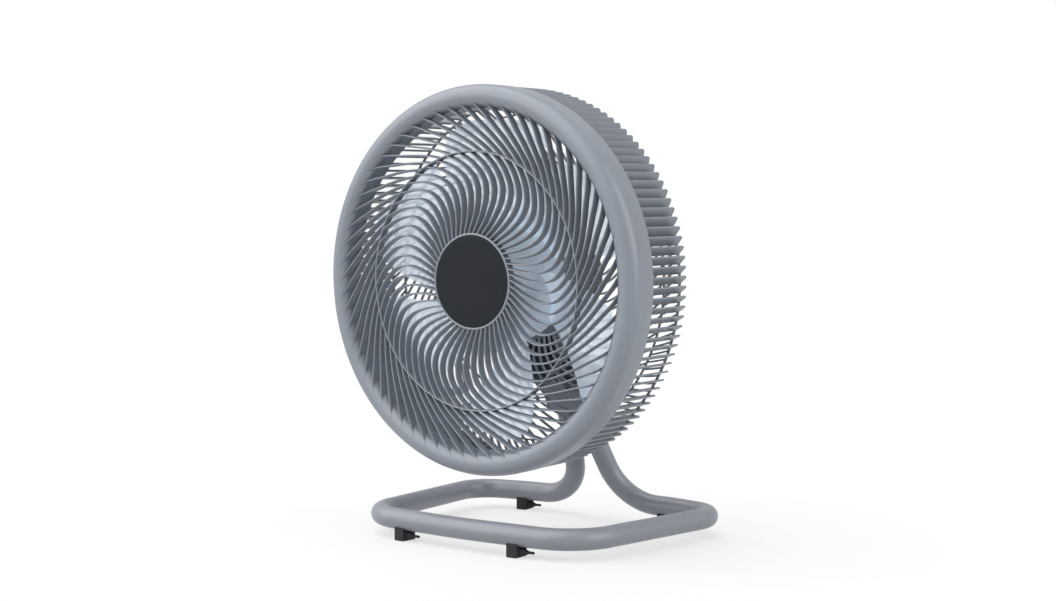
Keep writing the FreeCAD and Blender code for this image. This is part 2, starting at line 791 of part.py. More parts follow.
def tilt_bolt():
    """Hexagon-headed bolt through ears and neck. Drawn along +Z from the pivot."""
    face = size("neck_width") / 2 + size("ear_gap") + size("ear_thick") + WASHER
    corners = [Vector(7.5 * math.cos(math.radians(60 * i)), 7.5 * math.sin(math.radians(60 * i)),
                      -face - 5) for i in range(7)]
    head = Part.Face(Part.makePolygon(corners)).extrude(Vector(0, 0, 5))
    shank = Part.makeCylinder(size("bolt_radius"), 2 * face + 14, Vector(0, 0, -face))
    return head.fuse(shank)


# ---------------------------------------------------------------- assembly

STAND = Placement(Vector(0, -size("head_forward"), size("axis_height")), Rotation())
TILT = Placement(PIVOT, Rotation(Y_AXIS, 90))
BASE_BAR = swept(size("tube_radius") + 0.02)


def build_stand():
    feature("stand_tube", stand_tube(), STAND)
    for name, (x, y, turn) in FEET.items():
        feature(name, foot(x, y, turn), STAND)
    feature("stand_bracket", stand_bracket(), STAND)
    screws_here = Part.makeCompound([bracket_screw(s, SCREW_RADIUS, 3.8) for s in (-1, 1)])
    feature("bracket_screws", screws_here, STAND)


def build_tilt_clamp():
    feature("tilt_bolt", tilt_bolt(), TILT)
    feature("tilt_washers", tilt_washers(), TILT)
    feature("tilt_knob", tilt_knob(), TILT)
    start = knob_start() + 1.02
    bore = cell("bolt_radius", 0.05)
    lathe("knob_insert", [(bore, start), (7, start), (7, start + 12), (bore, start + 12)], TILT)


def build_grilles():
    front = front_grille().cut(lock_screw_hole())
    feature("front_grille", front, HEAD)
    face = badge_face()
    edge = cell("hub_radius", -2.4)
    rim = cell("hub_radius", -3.2)
    back = face + size("badge_thick") - 0.02
    lathe("hub_badge", [(0, face), (rim, face), (edge, face + 0.8), (edge, back), (0, back)], AXIAL)
    feature("rear_grille", rear_grille(), HEAD)
    feature("grille_lock_screw", lock_screw(), HEAD)
    bore = NUT_HOLE - 0.25
    lathe("grille_nut", [(bore, 72), (20, 72), (22, 74), (22, 79.95), (bore, 79.95)], AXIAL)


def build_motor():
    feature("front_end_shield", end_shield(14.0, (70, 84.1), (84.02, 88), (88, 100)), HEAD)
    feature("rear_end_shield", end_shield(12.0, (122, 130), (118, 122), (108, 118)), HEAD)
    feature("stator_core", stator_core(), HEAD)
    feature("stator_windings", stator_windings(), HEAD)
    inner = cell("shaft_radius", 0.05)
    for name, start, end in (("front_bush", 70.5, 84), ("rear_bush", 118, 129.5)):
        lathe(name, [(inner, start), (8, start), (8, end), (inner, end)], AXIAL)
    bore = cell("shaft_radius", 0.03)
    lathe("motor_rotor", [(bore, 92.5), (25.4, 92.5), (25.4, 115.5), (bore, 115.5)], AXIAL)
    feature("thrust_washers", thrust_washers(), HEAD)
    bolts = screws(circle_places(MOTOR_BOLTS_AT, 4), 84.5, 122.1, MOTOR_BOLT, 3.6, 122.02, 125)
    feature("motor_bolts", bolts, HEAD)
    motor_shaft()


def motor_shaft():
    """Plain shaft, cross-drilled for the drive pin: two primitives driven by the sheet."""
    rod = DOC.addObject("Part::Cylinder", "shaft_rod")
    rod.setExpression("Radius", "Sizes.shaft_radius")
    rod.Height = 111
    rod.Placement = Placement(Vector(0, 0, 20), Rotation())
    hole = DOC.addObject("Part::Cylinder", "pin_hole")
    hole.setExpression("Radius", "Sizes.running_gap + 1.5")
    hole.Height = 20
    hole.Placement = Placement(Vector(-10, 0, 54.5), Rotation(Y_AXIS, 90))
    shaft = DOC.addObject("Part::Cut", "motor_shaft")
    shaft.Base = rod
    shaft.Tool = hole
    keep(shaft, "motor_shaft", AXIAL)
    pin = DOC.addObject("Part::Cylinder", "drive_pin")
    pin.Radius = 1.5
    pin.Height = 17
    keep(pin, "drive_pin", AXIAL * Placement(Vector(-8.5, 0, 54.5), Rotation(Y_AXIS, 90)))


def build_rotor():
    feature("fan_rotor", fan_rotor(), HEAD)
    bore = cell("shaft_radius", 0.03)
    profile = [(0, 13), (8, 14.5), (12.5, 19), (13, 25.95), (bore, 25.95), (bore, 19.9), (0, 19.9)]
    lathe("blade_nut", profile, AXIAL)


def build_cover():
    back = size("cover_back")
    feature("motor_cover", motor_cover(), HEAD)
    cover_screws = screws(circle_places(COVER_SCREWS_AT, 4, 45), 79.5, 94, SCREW_RADIUS, 3.8, 77.6, 79.98)
    feature("cover_screws", cover_screws, HEAD)
    feature("run_capacitor", box((-44, 128, -11), (-18, 145, 11)), HEAD)
    feature("terminal_block", box((17, 127, -7), (40, 139, 7)), HEAD)
    feature("speed_switch", speed_switch(), HEAD)
    feature("cable_gland", cable_gland(), HEAD)
    feature("speed_knob", speed_knob(), HEAD)
    spindle = DOC.addObject("Part::Cylinder", "switch_spindle")
    spindle.Radius = 3.0
    spindle.Height = 20
    keep(spindle, "switch_spindle", AXIAL * Placement(Vector(0, 0, back - 10), Rotation()))


def export():
    """Recomputes, checks every object and writes one STEP file per sub-part."""
    DOC.recompute()
    for item in DOC.Objects:
        if {"Invalid", "Error"} & set(item.State):
            raise RuntimeError(f"{item.Label} failed to recompute: {item.State}")
    os.makedirs("parts", exist_ok=True)
    for item in NODES:
        shape = item.Shape
        if shape.isNull() or not shape.isValid():
            raise RuntimeError(f"{item.Label} has no valid shape")
        shape.exportStep(f"parts/{item.Label}.step")
        b = shape.BoundBox
        print(f"{item.Label:18s} solids {len(shape.Solids):2d} volume {shape.Volume:10.0f}",
              f"box {b.XMin:.1f} {b.YMin:.1f} {b.ZMin:.1f} to {b.XMax:.1f} {b.YMax:.1f} {b.ZMax:.1f}")


build_stand()
build_tilt_clamp()
build_grilles()
build_motor()
build_rotor()
build_cover()
export()
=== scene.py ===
import json
import math

import bmesh
import bpy
from mathutils import Matrix, Vector


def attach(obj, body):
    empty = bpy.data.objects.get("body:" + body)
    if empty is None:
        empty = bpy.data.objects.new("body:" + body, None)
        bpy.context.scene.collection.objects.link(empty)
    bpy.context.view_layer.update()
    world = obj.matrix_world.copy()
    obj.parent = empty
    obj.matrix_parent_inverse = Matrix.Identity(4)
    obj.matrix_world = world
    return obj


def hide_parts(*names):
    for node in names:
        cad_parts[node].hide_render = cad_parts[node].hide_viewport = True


# Looks for the floor fan: moulded grille ribs and louvres, milky rotor, bent tube stand, studio.
# Lengths below are in millimetres in the head's frame (Y runs back along the fan axis) or in the
# stand's frame (same origin, not tilted); MM turns them into metres.

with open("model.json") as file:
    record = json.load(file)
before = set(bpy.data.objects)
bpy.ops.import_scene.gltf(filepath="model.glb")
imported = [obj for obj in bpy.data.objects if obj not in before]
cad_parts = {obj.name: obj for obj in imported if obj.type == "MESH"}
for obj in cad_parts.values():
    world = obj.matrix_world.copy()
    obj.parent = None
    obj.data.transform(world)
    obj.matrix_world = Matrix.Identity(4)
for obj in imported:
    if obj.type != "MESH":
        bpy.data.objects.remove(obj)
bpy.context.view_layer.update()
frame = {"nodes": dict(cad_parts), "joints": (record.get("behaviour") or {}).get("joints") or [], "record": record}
MM = 0.001

# ---------------------------------------------------------------- frames

joints = {j["name"]: j for j in frame["joints"]}
head_centre = Vector(joints["fan_spin"]["pos_m"])
fan_axis = Vector(joints["fan_spin"]["axis"])
nod = math.atan2(fan_axis.z, fan_axis.y)
HEAD = Matrix.Translation(head_centre) @ Matrix.Rotation(nod, 4, "X")
STAND = Matrix.Translation(head_centre)

# ---------------------------------------------------------------- sizes, in millimetres

# Front grille: bezel, rings, badge and ribs.
BEZEL_RADIUS = 200.0
LIP = 12.2
CORE = BEZEL_RADIUS - LIP
BEZEL_WALL = 2.5
BEZEL_BACK = 22.0
SKIRT_BACK = 10.0
HUB_RING = 49.5
BADGE = 47.1
BADGE_BACK = -8.0
MID_RING = 132.2
RING_WIDTH = 2.0
RIB_FRONT = -10.5
RIB_BACK = -2.0
BADGE_FACE = RIB_FRONT - 0.3
RIB_WIDTH = 2.0
RIB_DRAFT = 0.72
INNER_RIBS = 55
OUTER_RIBS = 63

# Rear grille: flange, leaning louvres, and the swirled face with its motor plate.
CAGE_BACK = 84.0
FLANGE = (185.5, 197.2, 17.0, 24.0)  # inner and outer radius, front and back
SIDE_FINS = 126
FIN_PHASE = -0.74
FIN_ROOT = 190.5
FIN_EDGE = 199.0
FIN_LEAN = 40.0
FIN_START = 22.3
FIN_THICK = 1.9
FIN_CORNER = 3.2
REAR_RIBS = 63
REAR_RIB_WIDTH = 1.9
REAR_RIB_DEPTH = 3.0
REAR_MID_RING = 128.0
FORK_RING = 172.7
FORK_RING_WIDTH = 1.6
RIM_RING = 190.9
PLATE = 66.0
PLATE_THICK = 4.0
NUT_HOLE = 14.3

# Rotor: hub cup with a boss inside, and blades.
ROTOR_HUB = 64.0
HUB_FRONT = 25.2
HUB_CORNER = 6.0
HUB_SHOULDER = 32.0
HUB_WEB = 29.0
HUB_BACK = 64.0
HUB_WALL = 2.5
BOSS = 9.0
BOSS_BACK = 52.0
BLADES = 6
BLADE_PHASE = 45.0
BLADE_START = 62.0
TIP_START = 146.0  # from here the tip's corners round off
BLADE_TIP = 166.0
TIP_ROUNDNESS = 3.2
CAMBER = 3.5
BLADE_EDGE = 0.25  # half the thickness at the edges
BLADE_SWELL = 0.85  # and how much more in the middle

# Stand.
TUBE = 11.0
SOLE = -21.35  # underside of the feet, from the tube's centre line
BASE_DROP = head_centre.z / MM + SOLE

# How far a rib has swung about the axis, in degrees, at each radius.
INNER_SWING = ((48.5, 9.1), (60, 4.0), (72, 1.1), (88, 0.0), (104, 2.7), (119, 10.0), (132, 18.5))
OUTER_SWING = ((132.4, -0.6), (146, 8.8), (160, 16.8), (172, 21.8), (184.5, 27.0))
RIM_SWING = ((173, -0.1), (181, 1.8), (190.5, 4.0))
REAR_OUTER_SWING = ((128, 0.0), (146, 10.5), (160, 17.3), (172.5, 22.3))
REAR_INNER_SWING = ((65, 3.2), (84, 0.8), (104, 4.0), (128, 13.0))

# ---------------------------------------------------------------- node materials

TONE_DRIFT = 0.05
GRAIN_STRENGTH = 0.12
MILKY_IOR = 1.12
# Strength of the painted glow on the milky blade plastic: light it gives off as if lit from inside.
PAINTED_GLOW = 0.16


def new_material(name):
    """An empty node material: the material, its node tree and its main shader."""
    made = bpy.data.materials.new(name)
    made.use_nodes = True
    tree = made.node_tree
    return made, tree, tree.nodes["Principled BSDF"]


def node(tree, kind, **values):
    """A node with its properties and unlinked inputs set."""
    made = tree.nodes.new(kind)
    for key, value in values.items():
        if key in made.inputs:
            made.inputs[key].default_value = value
        else:
            setattr(made, key, value)
    return made


def noise(tree, scale, detail=4.0, roughness=0.55):
    """Noise in object space, in features per metre."""
    place = node(tree, "ShaderNodeTexCoord")
    made = node(tree, "ShaderNodeTexNoise", Scale=scale, Detail=detail, Roughness=roughness)
    tree.links.new(place.outputs["Object"], made.inputs["Vector"])
    return made.outputs["Fac"]


def ramp(tree, source, low, high, start=0.3, end=0.7):
    """Maps a factor to a span of values."""
    made = node(tree, "ShaderNodeMapRange")
    tree.links.new(source, made.inputs["Value"])
    made.inputs["From Min"].default_value = start
    made.inputs["From Max"].default_value = end
    made.inputs["To Min"].default_value = low
    made.inputs["To Max"].default_value = high
    return made.outputs["Result"]


def two_tone(tree, source, first, second):
    """A colour that drifts between two tones, on the mix node's colour sockets."""
    made = node(tree, "ShaderNodeMix", data_type="RGBA")
    tree.links.new(source, made.inputs["Factor"])
    made.inputs[6].default_value = (*first, 1)
    made.inputs[7].default_value = (*second, 1)
    return made.outputs[2]


def bump(tree, shader, source, depth, strength=1.0):
    """Surface relief, depth in metres."""
    made = node(tree, "ShaderNodeBump", Strength=strength, Distance=depth)
    tree.links.new(source, made.inputs["Height"])
    tree.links.new(made.outputs["Normal"], shader.inputs["Normal"])


def moulded(name, tone, rough, grain=2600.0, grain_depth=0.00002, spec=0.5):
    """Moulded plastic or paint: a slow drift of tone, uneven gloss and a fine grain."""
    made, tree, shader = new_material(name)
    drift = ramp(tree, noise(tree, 14.0, 3.0), 0.0, 1.0)
    paler = tuple(min(1.0, c * (1 + TONE_DRIFT)) for c in tone)
    deeper = tuple(c * (1 - TONE_DRIFT) for c in tone)
    tree.links.new(two_tone(tree, drift, deeper, paler), shader.inputs["Base Color"])
    gloss = ramp(tree, noise(tree, 60.0, 5.0), rough - 0.04, rough + 0.05)
    tree.links.new(gloss, shader.inputs["Roughness"])
    bump(tree, shader, noise(tree, grain, 3.0), grain_depth, GRAIN_STRENGTH)
    shader.inputs["Specular IOR Level"].default_value = spec
    return made


def frosted_plastic(name, tone, clearness, alpha):
    """Milky tinted plastic that lets blurred light through, with flow lines from the mould and a painted glow in
    its own tint.
    """
    made, tree, shader = new_material(name)
    flow = ramp(tree, noise(tree, 22.0, 4.0), 0.0, 1.0)
    pale = tuple(min(1.0, c * 1.04) for c in tone)
    tree.links.new(two_tone(tree, flow, tone, pale), shader.inputs["Base Color"])
    tree.links.new(ramp(tree, noise(tree, 90.0), 0.28, 0.36), shader.inputs["Roughness"])
    bump(tree, shader, noise(tree, 40.0, 2.0), 0.0002, 0.2)
    shader.inputs["Transmission Weight"].default_value = clearness
    shader.inputs["IOR"].default_value = MILKY_IOR
    shader.inputs["Alpha"].default_value = alpha
    # Painted glow: the blades and hub give off light of their own tint, so they read brighter than the light
    # reaching them.
    shader.inputs["Emission Color"].default_value = (*tone, 1)
    shader.inputs["Emission Strength"].default_value = PAINTED_GLOW
    return made


def metal(name, tone, rough, stretch=1.0):
    """Bare metal with a fine uneven finish."""
    made, tree, shader = new_material(name)
    shader.inputs["Metallic"].default_value = 1.0
    drift = ramp(tree, noise(tree, 120.0 * stretch, 4.0), 0.0, 1.0)
    deeper = tuple(c * 0.85 for c in tone)
    tree.links.new(two_tone(tree, drift, deeper, tone), shader.inputs["Base Color"])
    gloss = ramp(tree, noise(tree, 700.0, 4.0), rough - 0.08, rough + 0.1)
    tree.links.new(gloss, shader.inputs["Roughness"])
    bump(tree, shader, noise(tree, 1800.0, 4.0), 0.00003, 0.3)
    return made


def wound_wire(name, tone):
    """Varnished copper wire laid side by side round the axis."""
    made, tree, shader = new_material(name)
    place = node(tree, "ShaderNodeTexCoord")
    rings = node(tree, "ShaderNodeTexWave", wave_type="RINGS", rings_direction="Y", Scale=160.0,
                 Distortion=1.5, Detail=2.0)
    tree.links.new(place.outputs["Object"], rings.inputs["Vector"])
    deeper = tuple(c * 0.4 for c in tone)
    tree.links.new(two_tone(tree, rings.outputs["Fac"], deeper, tone), shader.inputs["Base Color"])
    shader.inputs["Metallic"].default_value = 0.8
    shader.inputs["Roughness"].default_value = 0.35
    bump(tree, shader, rings.outputs["Fac"], 0.0004, 0.6)
    return made


def stacked_sheet(name, tone):
    """Steel laminations, edges showing as fine lines across the axis."""
    made, tree, shader = new_material(name)
    place = node(tree, "ShaderNodeTexCoord")
    bands = node(tree, "ShaderNodeTexWave", wave_type="BANDS", bands_direction="Y", Scale=320.0)
    tree.links.new(place.outputs["Object"], bands.inputs["Vector"])
    deeper = tuple(c * 0.5 for c in tone)
    tree.links.new(two_tone(tree, bands.outputs["Fac"], deeper, tone), shader.inputs["Base Color"])
    shader.inputs["Metallic"].default_value = 0.9
    shader.inputs["Roughness"].default_value = 0.45
    bump(tree, shader, bands.outputs["Fac"], 0.0001, 0.5)
    return made


MATERIALS = {
    "grille_grey": moulded("grille_plastic", (0.152, 0.170, 0.201), 0.37, spec=0.65),
    "tube_paint": moulded("tube_powder_coat", (0.145, 0.158, 0.183), 0.37, spec=0.65),
    "badge_dark": moulded("badge_plastic", (0.010, 0.012, 0.015), 0.5, 3200.0, 0.00003, 0.12),
    "cover_dark": moulded("cover_plastic", (0.022, 0.025, 0.030), 0.5, 1800.0, 0.00006, 0.25),
    "bracket_grey": moulded("bracket_plastic", (0.16, 0.178, 0.208), 0.42),
    "blade_clear": frosted_plastic("blade_plastic", (0.80, 0.89, 1.0), 0.5, 0.55),
    "foot_rubber": moulded("foot_rubber", (0.012, 0.013, 0.014), 0.68, 1400.0, 0.00008, 0.3),
    "zinc_steel": metal("zinc_steel", (0.62, 0.62, 0.64), 0.35),
    "ground_steel": metal("ground_steel", (0.56, 0.56, 0.57), 0.22, 4.0),
    "cast_shield": metal("cast_aluminium", (0.66, 0.66, 0.68), 0.48, 0.6),
    "lamination": stacked_sheet("laminated_steel", (0.34, 0.34, 0.35)),
    "copper_coil": wound_wire("copper_wire", (0.72, 0.32, 0.14)),
    "bush_bronze": metal("sintered_bronze", (0.62, 0.43, 0.22), 0.5, 2.0),
    "insert_brass": metal("turned_brass", (0.78, 0.58, 0.28), 0.25, 3.0),
    "fibre": moulded("red_fibre", (0.28, 0.07, 0.04), 0.6),
    "knob_dark": moulded("knob_plastic", (0.030, 0.034, 0.038), 0.46, 2000.0, 0.00005, 0.4),
    "part_black": moulded("black_plastic", (0.02, 0.02, 0.022), 0.4),
    "part_white": moulded("white_plastic", (0.72, 0.72, 0.68), 0.4),
}
slot_of = {s["node"]: s["material_slot"] for s in frame["record"]["subparts"]}
for name, item in frame["nodes"].items():
    item.data.materials.clear()
    item.data.materials.append(MATERIALS[slot_of[name]])

# ---------------------------------------------------------------- mesh helpers


class Builder:
    """Collects points and faces for one piece, in millimetres, then makes the mesh."""

    def __init__(self):
        self.points = []
        self.faces = []

    def loft(self, sections, closed_path=False):
        """Skins a row of equal-length closed sections, with end caps where the path is open."""
        start = len(self.points)
        count = len(sections[0])
        for section in sections:
            self.points.extend(section)
        rows = len(sections)
        last = rows if closed_path else rows - 1
        for i in range(last):
            a = start + i * count
            b = start + ((i + 1) % rows) * count
            for j in range(count):
                k = (j + 1) % count
                self.faces.append((a + j, a + k, b + k, b + j))
        if not closed_path:
            self.faces.append(tuple(range(start, start + count))[::-1])
            self.faces.append(tuple(range(start + (rows - 1) * count, start + rows * count)))

    def turn(self, profile, segments=360):
        """A ring turned about the head's Y axis from a closed (radius, y) profile."""
        sections = []
        for i in range(segments):
            a = 2 * math.pi * i / segments
            sections.append([Vector((r * math.cos(a), y, r * math.sin(a))) for r, y in profile])
        self.loft(sections, closed_path=True)

    def cap_turn(self, profile, segments=180):
        """A solid of revolution whose (radius, y) profile starts and ends on the axis."""
        start = len(self.points)
        inner = profile[1:-1]
        self.points.append(Vector((0, profile[0][1], 0)))
        self.points.append(Vector((0, profile[-1][1], 0)))
        for i in range(segments):
            a = 2 * math.pi * i / segments
            self.points.extend(Vector((r * math.cos(a), y, r * math.sin(a))) for r, y in inner)
        n = len(inner)
        for i in range(segments):
            a = start + 2 + i * n
            b = start + 2 + ((i + 1) % segments) * n
            self.faces.append((start, a, b))
            self.faces.append((start + 1, b + n - 1, a + n - 1))
            for j in range(n - 1):
                self.faces.append((a + j, a + j + 1, b + j + 1, b + j))

    def piece(self, name, place, body, slot, replaces=(), sharp=None):
        """Makes the object, with outward faces, on its body and in its material slot."""
        mesh = bpy.data.meshes.new(name)
        mesh.from_pydata([place @ (p * MM) for p in self.points], [], self.faces)
        work = bmesh.new()
        work.from_mesh(mesh)
        bmesh.ops.recalc_face_normals(work, faces=work.faces)
        work.to_mesh(mesh)
        work.free()
        mesh.shade_smooth()
        if sharp is not None:
            mesh.set_sharp_from_angle(angle=math.radians(sharp))
        made = bpy.data.objects.new(name, mesh)
        bpy.context.scene.collection.objects.link(made)
        mesh.materials.append(MATERIALS[slot])
        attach(made, body)
        if replaces:
            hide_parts(*replaces)
        return made


def soften(piece, width, segments):
    """Rounds a piece's sharp edges."""
    edge = piece.modifiers.new("soft_edges", "BEVEL")
    edge.width = width * MM
    edge.segments = segments
    edge.limit_method = "ANGLE"
    edge.angle_limit = math.radians(35)


def polar(radius, degrees, y):
    """The point at an angle about the head's axis."""
    a = math.radians(degrees)
    return Vector((radius * math.cos(a), y, radius * math.sin(a)))


def arc(centre, radius, start, end, steps):
    """Points (a, b) on an arc in a profile plane; angles in degrees."""
    points = []
    for i in range(steps + 1):
        a = math.radians(start + (end - start) * i / steps)
        points.append((centre[0] + radius * math.cos(a), centre[1] + radius * math.sin(a)))
    return points


def smooth(t):
    """An even ease from 0 to 1."""
    t = max(0.0, min(1.0, t))
    return t * t * (3 - 2 * t)


def eased(table, x):
    """A smooth curve through a table of (x, value) rows."""
    xs = [row[0] for row in table]
    vs = [row[1] for row in table]
    slopes = []
    for i in range(len(xs)):
        a, b = max(0, i - 1), min(len(xs) - 1, i + 1)
        slopes.append((vs[b] - vs[a]) / (xs[b] - xs[a]))
    i = 0
    while i < len(xs) - 2 and x > xs[i + 1]:
        i += 1
    span = xs[i + 1] - xs[i]
    t = (x - xs[i]) / span
    h00, h10 = 2 * t**3 - 3 * t**2 + 1, t**3 - 2 * t**2 + t
    h01, h11 = -2 * t**3 + 3 * t**2, t**3 - t**2
    return h00 * vs[i] + h10 * span * slopes[i] + h01 * vs[i + 1] + h11 * span * slopes[i + 1]


def rib(builder, swing, turn, section_at, steps):
    """One swirled rib. section_at(radius) gives the (across, y) points of its section."""
    low, high = swing[0][0], swing[-1][0]
    step = 0.2  # either side of a point, to find the rib's direction there
    sections = []
    for i in range(steps + 1):
        radius = low + (high - low) * i / steps
        here = polar(radius, turn + eased(swing, radius), 0)
        ahead = polar(radius + step, turn + eased(swing, min(high, radius + step)), 0)
        behind = polar(radius - step, turn + eased(swing, max(low, radius - step)), 0)
        along = (ahead - behind).normalized()
        across = Vector((along.z, 0, -along.x))
        section = []
        for offset, y in section_at(radius):
            section.append(Vector((here.x + across.x * offset, y, here.z + across.z * offset)))
        sections.append(section)
    builder.loft(sections)


def rib_section(width, front, back):
    """A front rib's section: rounded front edge, drafted sides, square back."""
    half, edge = width / 2, width / 2 * RIB_DRAFT
    return [
        (-half, back), (-half * 0.94, (front + back) / 2), (-edge, front + edge * 0.95),
        (-edge * 0.72, front + edge * 0.3), (0.0, front),
        (edge * 0.72, front + edge * 0.3), (edge, front + edge * 0.95),
        (half * 0.94, (front + back) / 2), (half, back),
    ]


# ---------------------------------------------------------------- front grille


def bezel():
    """Round lip, straight side wall with a rolled rear edge, and the drafted inner skirt."""
    bore, inside = CORE - LIP, LIP - BEZEL_WALL
    outer = [(BEZEL_RADIUS, BEZEL_BACK - 1.2), (BEZEL_RADIUS, SKIRT_BACK)]
    lip = arc((CORE, 0), LIP, 0, -180, 40)
    skirt = [(bore - 0.5, SKIRT_BACK - 6), (bore - 1.5, SKIRT_BACK - 0.4), (bore - 1.2, SKIRT_BACK),
             (bore + BEZEL_WALL - 1.7, SKIRT_BACK), (bore + BEZEL_WALL - 1.2, SKIRT_BACK - 0.4)]
    hollow = arc((CORE, 0), inside, -180, 0, 24)
    back = [(CORE + inside, BEZEL_BACK - 0.3), (CORE + inside + 0.4, BEZEL_BACK),
            (BEZEL_RADIUS - 0.9, BEZEL_BACK), (BEZEL_RADIUS - 0.25, BEZEL_BACK - 0.35)]
    made = Builder()
    made.turn(outer + lip + skirt + hollow + back, 480)
    made.piece("bezel", HEAD, "head", "grille_grey", ["front_grille"], 45)


def inner_rib_section(_radius):
    """Inner ribs keep one section from the hub to the middle ring."""
    return rib_section(RIB_WIDTH, RIB_FRONT, RIB_BACK)


def outer_rib_section(radius):
    """Outer ribs climb the bezel's lip and thin to a point on it."""
    taper = 1 - 0.8 * smooth((radius - 171) / 14)
    inward = min(LIP, max(0.0, CORE - radius))
    lip_face = -math.sqrt(LIP * LIP - inward * inward)
    return rib_section(RIB_WIDTH * taper, min(RIB_FRONT, lip_face - 0.3), RIB_BACK)


def front_ribs():
    """Both zones of swirled ribs."""
    inner, outer = Builder(), Builder()
    for i in range(INNER_RIBS):
        rib(inner, INNER_SWING, 360 * i / INNER_RIBS, inner_rib_section, 30)
    for i in range(OUTER_RIBS):
        rib(outer, OUTER_SWING, 360 * i / OUTER_RIBS, outer_rib_section, 24)
    inner.piece("front_ribs_inner", HEAD, "head", "grille_grey", (), 50)
    outer.piece("front_ribs_outer", HEAD, "head", "grille_grey", (), 50)


def front_rings():
    """Middle ring, hub ring and the plate behind the badge."""
    middle = Builder()
    section = rib_section(RING_WIDTH, RIB_FRONT - 0.2, RIB_BACK)
    middle.turn([(MID_RING + across, y) for across, y in section])
    middle.piece("front_mid_ring", HEAD, "head", "grille_grey", (), 50)
    hub = Builder()
    seat, bore, crest = BADGE + 0.15, BADGE - 2, RIB_FRONT - 0.4
    hub.turn([(seat, BADGE_BACK), (seat, crest + 0.3), (seat + 0.35, crest), (HUB_RING - 0.9, crest),
              (HUB_RING - 0.2, crest + 0.5), (HUB_RING, RIB_BACK), (bore, RIB_BACK),
              (bore, BADGE_BACK)], 240)
    hub.piece("front_hub_ring", HEAD, "head", "grille_grey", (), 50)
    plate = Builder()
    rim, back = BADGE + 0.1, BADGE_BACK + 2.4
    plate.cap_turn([(0, BADGE_BACK), (rim, BADGE_BACK), (rim, back), (0, back)])
    plate.piece("front_hub_plate", HEAD, "head", "grille_grey", (), 50)


def hub_badge():
    """Slightly crowned dark disc with a soft edge."""
    crown = ((0, 0.15), (12, 0.14), (24, 0.11), (36, 0.06), (43, 0.02))
    soft, back = 0.8, BADGE_BACK - 0.12
    profile = [(radius, BADGE_FACE - rise) for radius, rise in crown]
    profile += arc((BADGE - 0.1 - soft, BADGE_FACE + soft), soft, -90, 0, 6)
    profile += [(BADGE - 0.1, back), (0, back)]
    made = Builder()
    made.cap_turn(profile, 240)
    made.piece("badge", HEAD, "head", "badge_dark", ["hub_badge"], 50)


# ---------------------------------------------------------------- rear grille


def louvre(builder, turn):
    """One side fin: a thin leaning plate with softened long edges and a round rear corner."""
    lean = math.tan(math.radians(FIN_LEAN)) * (FIN_EDGE - FIN_ROOT)
    root = polar(FIN_ROOT, turn, 0)
    edge = polar(FIN_EDGE, turn + math.degrees(lean / FIN_EDGE), 0)
    along = (edge - root).normalized()
    across = Vector((along.z, 0, -along.x))
    reach = (edge - root).length
    half, flat, soft = FIN_THICK / 2, FIN_THICK / 2 - 0.23, 0.25
    sections = []
    for offset, inset in ((-half, soft), (-flat, 0), (flat, 0), (half, soft)):
        outline = [(0, FIN_START), (reach - inset, FIN_START)]
        outline += [(reach - inset, y) for y in (36, 50, 64, 76)]
        outline += arc((reach - FIN_CORNER, CAGE_BACK - FIN_CORNER), FIN_CORNER - inset, 0, 90, 6)
        outline += [(0, CAGE_BACK - inset)]
        sections.append([root + along * u + across * offset + Vector((0, y, 0)) for u, y in outline])
    builder.loft(sections)


def rear_rib_section(_radius):
    """Rear ribs are square inside and rounded on the back."""
    half, shoulder = REAR_RIB_WIDTH / 2, REAR_RIB_WIDTH / 2 * 0.55
    front, edge = CAGE_BACK - REAR_RIB_DEPTH, CAGE_BACK - 0.6
    return [(-half, front), (-half, edge), (-shoulder, CAGE_BACK - 0.1), (0, CAGE_BACK),
            (shoulder, CAGE_BACK - 0.1), (half, edge), (half, front)]


def soft_ring(inner, outer, start, end, soft=0.4):
    """A ring's section with softened edges."""
    return [(inner, start + soft), (inner + soft, start), (outer - soft, start), (outer, start + soft),
            (outer, end - soft), (outer - soft, end), (inner + soft, end), (inner, end - soft)]


def rear_grille():
    """Louvred drum with its flange, and the swirled rear face whose ribs double near the rim."""
    drum = Builder()
    for i in range(SIDE_FINS):
        louvre(drum, FIN_PHASE + 360 * i / SIDE_FINS)
    drum.piece("rear_louvres", HEAD, "head", "grille_grey", ["rear_grille"], 25)
    ribs = Builder()
    for i in range(REAR_RIBS):
        rib(ribs, REAR_OUTER_SWING, 360 * i / REAR_RIBS, rear_rib_section, 18)
        rib(ribs, REAR_INNER_SWING, 360 * i / REAR_RIBS, rear_rib_section, 18)
    for i in range(SIDE_FINS):
        rib(ribs, RIM_SWING, 360 * i / SIDE_FINS, rear_rib_section, 6)
    ribs.piece("rear_ribs", HEAD, "head", "grille_grey", (), 50)
    rings = Builder()
    rear = CAGE_BACK - REAR_RIB_DEPTH
    rings.turn(soft_ring(*FLANGE))
    circles = ((RIM_RING, RING_WIDTH), (FORK_RING, FORK_RING_WIDTH), (REAR_MID_RING, RING_WIDTH))
    for radius, width in circles:
        rings.turn(soft_ring(radius - width / 2, radius + width / 2, rear, CAGE_BACK, 0.3))
    rings.piece("rear_rings", HEAD, "head", "grille_grey", (), 50)
    plate = Builder()
    plate.turn(soft_ring(NUT_HOLE, PLATE, CAGE_BACK - PLATE_THICK, CAGE_BACK), 180)
    plate.piece("rear_motor_plate", HEAD, "head", "grille_grey", (), 50)


# ---------------------------------------------------------------- rotor

# Radius, swing of the blade's middle, half width (degrees), front and back of the blade.
BLADE_SECTIONS = (
    (60, 0.0, 25.0, 24.5, 56.0),
    (85, -4.0, 24.0, 20.0, 56.0),
    (125, -11.0, 22.5, 18.0, 52.0),
    (170, -18.5, 21.0, 17.0, 46.0),
)


